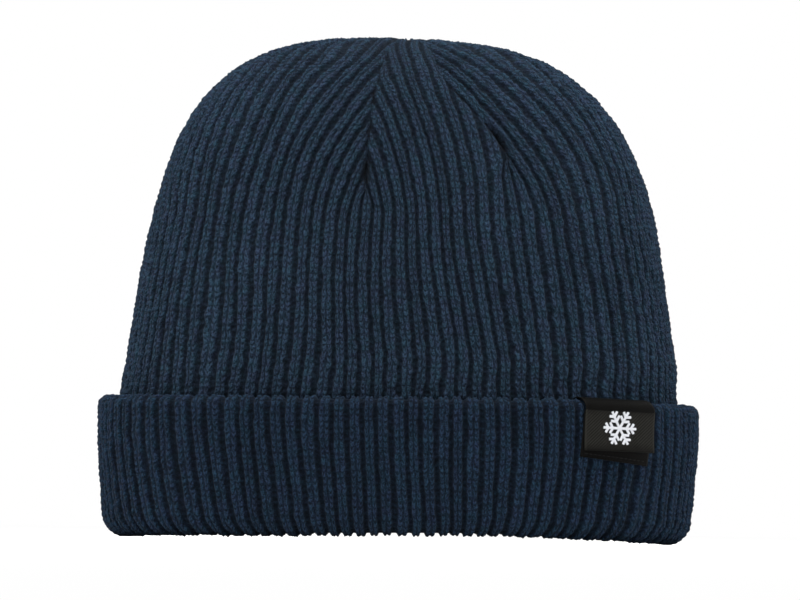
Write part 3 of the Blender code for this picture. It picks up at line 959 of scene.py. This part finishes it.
def knit_material(name, color):
    """Wool-like yarn knit in ribs: V stitches on the wales, purl bars in the valleys, stray fibres; shade is
    painted into the valleys, the gaps between the V legs and the dart seams.
    """
    n = Nodes(name)
    place = n.position()
    warp = n.add("ShaderNodeTexNoise")
    n.plug(place, warp.inputs["Vector"])
    warp.inputs["Scale"].default_value = 330.0
    warp.inputs["Detail"].default_value = 2.0
    push_u, push_v, _ = n.split(warp.outputs["Color"])
    plain_u, plain_v, _ = n.split(n.uv("knit"))
    u = n.math("ADD", plain_u, n.range(push_u, 0.2, 0.8, -0.05, 0.05))
    v = n.math("ADD", plain_v, n.range(push_v, 0.2, 0.8, -0.36, 0.36))
    across = n.math("ABSOLUTE", n.math("SUBTRACT", n.math("FRACT", u), 0.5))
    wale = n.math("DIVIDE", n.math("SUBTRACT", across, WALE_CENTRE), WALE_HALF)
    off_centre = n.math("ABSOLUTE", wale)
    ridge = n.math("SUBTRACT", 1.0, n.math("MULTIPLY", wale, wale), clamp=True)
    leaning = n.math("SUBTRACT", v, n.math("MULTIPLY", off_centre, LEG_RISE))
    leg = n.range(n.math("COSINE", n.math("MULTIPLY", leaning, TURN)), -0.9, 0.5)
    cleft = n.range(off_centre, 0.0, 0.3, 0.4, 1.0)
    bar = n.range(n.math("COSINE", n.math("MULTIPLY", v, TURN)), -0.6, 1.0)
    on_rib = n.range(across, 0.39, 0.29)
    stitch = n.math("MULTIPLY", n.math("MULTIPLY", ridge, leg), cleft)
    fibre = n.noise(place, 3000.0, 3.0, 0.85)
    tufts = n.noise(place, 1100.0, 3.0, 0.7)
    strands = n.noise(n.join(n.math("MULTIPLY", u, 16.0), n.math("MULTIPLY", v, 3.5)), 1.0, 2.0, 0.6)
    mottle = n.noise(place, 260.0, 3.0, 0.6)
    broad = n.noise(place, 26.0, 2.0, 0.5)
    cell = n.join(n.math("FLOOR", n.math("MULTIPLY", u, 2.0)), n.math("FLOOR", v))
    random = n.add("ShaderNodeTexWhiteNoise", noise_dimensions="2D")
    n.plug(cell, random.inputs["Vector"])

    # Painted shade: the colour is lightest on the V stitches' crests, darker on the purl bars and darkest in
    # the valleys and between the legs, where shade would fall
    tone = n.math("ADD", n.math("MULTIPLY", stitch, 1.30), n.math("MULTIPLY", on_rib, 0.20))
    tone = n.math("ADD", tone, n.math("MULTIPLY", bar, 0.12))
    tone = n.math("ADD", tone, 0.11)
    tone = n.math("MULTIPLY", tone, n.range(random.outputs["Value"], 0.0, 1.0, 0.76, 1.18))
    rib_random = n.add("ShaderNodeTexWhiteNoise", noise_dimensions="2D")
    stretch = n.math("FLOOR", n.math("MULTIPLY", v, 0.05))
    n.plug(n.join(n.math("FLOOR", u), stretch), rib_random.inputs["Vector"])
    tone = n.math("MULTIPLY", tone, n.range(rib_random.outputs["Value"], 0.0, 1.0, 0.84, 1.16))
    tone = n.math("MULTIPLY", tone, n.range(fibre, 0.40, 0.60, -0.3, 2.5))
    tone = n.math("MULTIPLY", tone, n.range(tufts, 0.32, 0.68, 0.30, 1.75))
    tone = n.math("MULTIPLY", tone, n.range(broad, 0.3, 0.7, 0.92, 1.08))
    # Painted shade in the dart seams and the pockets at their feet, from the seam map
    seam = n.range(n.split(n.uv("seam"))[0], 0.0, 1.0, 1.0, 0.12)
    cool = (color[0] * 0.88, color[1] * 1.10, color[2] * 1.0)
    warm = (color[0] * 1.12, color[1] * 0.95, color[2] * 1.03)
    hue = n.mix(n.range(mottle, 0.35, 0.65), rgba(cool), rgba(warm))
    shade = n.add("ShaderNodeVectorMath", operation="SCALE")
    n.plug(hue, shade.inputs[0])
    n.plug(n.math("MULTIPLY", n.range(tone, 0.0, 2.0, 0.16, 3.3), seam), shade.inputs["Scale"])
    n.plug(shade.outputs[0], n.shader.inputs["Base Color"])

    relief = n.math("ADD", n.math("MULTIPLY", stitch, 0.6), n.math("MULTIPLY", fibre, 0.5))
    relief = n.math("ADD", relief, n.math("MULTIPLY", strands, 0.35))
    n.bump(relief, 0.4 * MM, 1.0)
    n.shader.inputs["Roughness"].default_value = 0.95
    n.shader.inputs["Specular IOR Level"].default_value = 0.06
    n.shader.inputs["Sheen Weight"].default_value = 0.03
    n.shader.inputs["Sheen Roughness"].default_value = 0.5
    n.shader.inputs["Sheen Tint"].default_value = (0.45, 0.6, 0.85, 1.0)
    return n.material


def satin_material(name, color, gain, twill=0.0, painted_shade_end=1.0):
    """Closely woven satin: fine slanting floats, a coarser twill, a little dust, and painted shade: darker over
    the first 2 mm along its line and over the 3 mm before a given length.
    """
    n = Nodes(name)
    across, down, _ = n.split(n.uv("cloth"))
    place = n.position()
    x, y, z = n.split(place)
    slant = n.math("ADD", n.math("MULTIPLY", z, 2600.0), n.math("MULTIPLY", n.math("ADD", x, y), 1500.0))
    floats = n.math("ABSOLUTE", n.math("SINE", n.math("MULTIPLY", slant, math.pi)))
    ends = n.math("ABSOLUTE", n.math("SINE", n.math("MULTIPLY", n.math("SUBTRACT", x, z), 1900.0 * math.pi)))
    weave = n.math("ADD", n.math("MULTIPLY", floats, 0.65), n.math("MULTIPLY", ends, 0.35))
    cloud = n.noise(place, 340.0, 3.0, 0.6)
    dust = n.noise(place, 2400.0, 2.0, 0.6)
    tone = n.math("ADD", n.math("MULTIPLY", weave, 0.7), n.math("MULTIPLY", dust, 0.6))
    tone = n.math("MULTIPLY", tone, n.range(cloud, 0.3, 0.7, 0.8, 1.2))
    diagonal = n.math("SINE", n.math("MULTIPLY", n.math("SUBTRACT", z, x), TURN / (1.2 * MM)))
    tone = n.math("MULTIPLY", tone, n.range(diagonal, -1.0, 1.0, 1.0 - twill, 1.0 + twill))
    # Painted shade: darker over the 3 mm before the given length and over the first 2 mm of the line
    tone = n.math("MULTIPLY", tone, n.range(down, painted_shade_end - 3.0 * MM, painted_shade_end, 1.0, 0.5))
    tone = n.math("MULTIPLY", tone, n.range(down, 0.0, 2.0 * MM, 0.6, 1.0))
    edge = n.range(n.math("ABSOLUTE", n.math("SUBTRACT", across, 0.5)), 0.47, 0.5)
    tone = n.math("ADD", tone, n.math("MULTIPLY", edge, 0.35))
    shade = n.mix(n.range(tone, 0.2, 1.3), rgba(color, 0.45), rgba(color, gain))
    n.plug(shade, n.shader.inputs["Base Color"])
    n.plug(n.range(cloud, 0.3, 0.7, 0.44, 0.58), n.shader.inputs["Roughness"])
    n.shader.inputs["Specular IOR Level"].default_value = 0.02
    n.bump(weave, 0.06 * MM, 0.8)
    return n.material


def thread_material(name, color, gleam=0.2):
    """Spun thread: slanting plies and fine fibre."""
    n = Nodes(name)
    place = n.position()
    x, y, z = n.split(place)
    plies = n.math("SINE", n.math("MULTIPLY", n.math("ADD", n.math("ADD", x, y), z), 9000.0))
    fibre = n.noise(place, 3200.0, 3.0, 0.7)
    tone = n.math("ADD", n.range(plies, -1.0, 1.0, 0.0, 0.4), n.math("MULTIPLY", fibre, 0.8))
    shade = n.mix(n.range(tone, 0.2, 1.0), rgba(color, 0.6), rgba(color, 1.12))
    n.plug(shade, n.shader.inputs["Base Color"])
    n.shader.inputs["Roughness"].default_value = 0.75
    n.shader.inputs["Specular IOR Level"].default_value = gleam
    n.bump(tone, 0.08 * MM, 0.8)
    return n.material


def set_material(piece, material):
    piece.data.materials.clear()
    piece.data.materials.append(material)


# ---- Stage, light and camera ----

FLOOR_REACH = 20.0
LIGHT_AIM = Vector((0, 0, 0.09))
CAMERA_PLACE, CAMERA_AIM = Vector((0, -8.0, 0.005)), Vector((0.0, 0, 0.0888))
LENS, SENSOR, ROLL = 976, 36, math.radians(0.93)


def make_stage():
    corners = [(x * FLOOR_REACH, y * FLOOR_REACH, 0) for x, y in ((-1, -1), (1, -1), (1, 1), (-1, 1))]
    floor = place_in_scene("floor", mesh_from("floor", corners, [(0, 1, 2, 3)], rounded=False))
    n = Nodes("floor_white")
    n.shader.inputs["Base Color"].default_value = (0.99, 0.99, 0.99, 1)
    n.shader.inputs["Roughness"].default_value = 0.9
    n.shader.inputs["Specular IOR Level"].default_value = 0.0
    set_material(floor, n.material)


def area_light(name, place, size, power):
    data = bpy.data.lights.new(name, "AREA")
    data.shape = "SQUARE"
    data.size = size
    data.energy = power
    light = place_in_scene(name, data)
    light.location = place
    light.rotation_euler = (LIGHT_AIM - Vector(place)).to_track_quat("-Z", "Y").to_euler()


def make_lights():
    world = bpy.data.worlds.new("studio")
    world.use_nodes = True
    world.node_tree.nodes["Background"].inputs["Color"].default_value = (1, 1, 1, 1)
    world.node_tree.nodes["Background"].inputs["Strength"].default_value = 1.0
    bpy.context.scene.world = world
    area_light("top_front", (-0.08, -0.5, 2.0), 1.1, 66)


def make_camera():
    data = bpy.data.cameras.new("camera")
    data.lens = LENS
    data.sensor_width = SENSOR
    camera = place_in_scene("camera", data)
    camera.location = CAMERA_PLACE
    aim = (CAMERA_AIM - CAMERA_PLACE).to_track_quat("-Z", "Y")
    camera.rotation_mode = "QUATERNION"
    camera.rotation_quaternion = aim @ Quaternion((0, 0, 1), ROLL)
    bpy.context.scene.camera = camera


# ---- Assembly ----

bpy.context.scene.view_settings.view_transform = "Standard"
make_stage()
make_lights()
make_camera()

rib_knit = knit_material("rib_knit", NAVY)
# A darker, more saturated copy of the crown's yarn colour: painted shade for the cuff, which faces away from
# the light above; it also colours the hidden lining and inner cuff ply
cuff_knit_shaded = knit_material("cuff_knit_shaded", (NAVY[0] * 0.60, NAVY[1] * 0.68, NAVY[2] * 0.76))
# The free leaf's satin has painted shade 12 to 15 mm down its line, towards its lower edge, and at its fold
tag_satin = satin_material("tag_satin", (0.0043, 0.0042, 0.0037), 4.4, 0.6, 15 * MM)
# A darker copy of the tag's satin: painted shade for the sewn leaf, which lies under the free leaf
tag_back_satin_shaded = satin_material("tag_back_satin_shaded", (0.0013, 0.0013, 0.0012), 3.4, 0.3)
care_satin = satin_material("care_satin", (0.62, 0.61, 0.58), 1.15)
white_thread = thread_material("white_thread", (0.50, 0.51, 0.54))
tag_thread = thread_material("tag_thread", (0.004, 0.004, 0.004), 0.1)
seam_yarn = thread_material("seam_yarn", (0.016, 0.028, 0.045), 0.06)
care_thread = thread_material("care_thread", (0.55, 0.55, 0.53))


def add(piece, material, body, slot, *nodes):
    set_material(piece, material)
    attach(piece, body)
    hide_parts(*nodes)
    return piece


# One continuous rib tube, 104 ribs round, makes both crown plies and both cuff plies
crown = add(make_crown_outer(), rib_knit, "crown", "rib_knit", "crown_outer_ply")
lining = add(make_lining(), cuff_knit_shaded, "crown", "lining_knit", "crown_lining_ply")
cuff = add(make_cuff_outer(), cuff_knit_shaded, "cuff", "rib_knit", "cuff_outer_ply")
cuff_inner = add(make_cuff_inner(), cuff_knit_shaded, "cuff", "rib_knit", "cuff_inner_ply")
tag_back = add(make_tag_back(), tag_back_satin_shaded, "cuff", "tag_satin", "tag_back_leaf")
tag_flap = add(make_tag_flap(), tag_satin, "tag_flap", "tag_satin", "tag_flap")
motif = add(make_motif(), white_thread, "tag_flap", "tag_thread")
add(make_tag_stitches(), tag_thread, "cuff", "tag_thread", "tag_stitches")
care = add(make_care_label(), care_satin, "care_label", "care_satin", "care_label")
add(make_care_stitches(), care_thread, "crown", "care_thread", "care_label_stitches")
for node in frame["nodes"]:
    if node.startswith("dart_seam"):
        add(make_dart_ridge(node), seam_yarn, "crown", "seam_thread", node)
for node in ("closing_knot_outer", "closing_knot_lining"):
    set_material(frame["nodes"][node], seam_yarn)
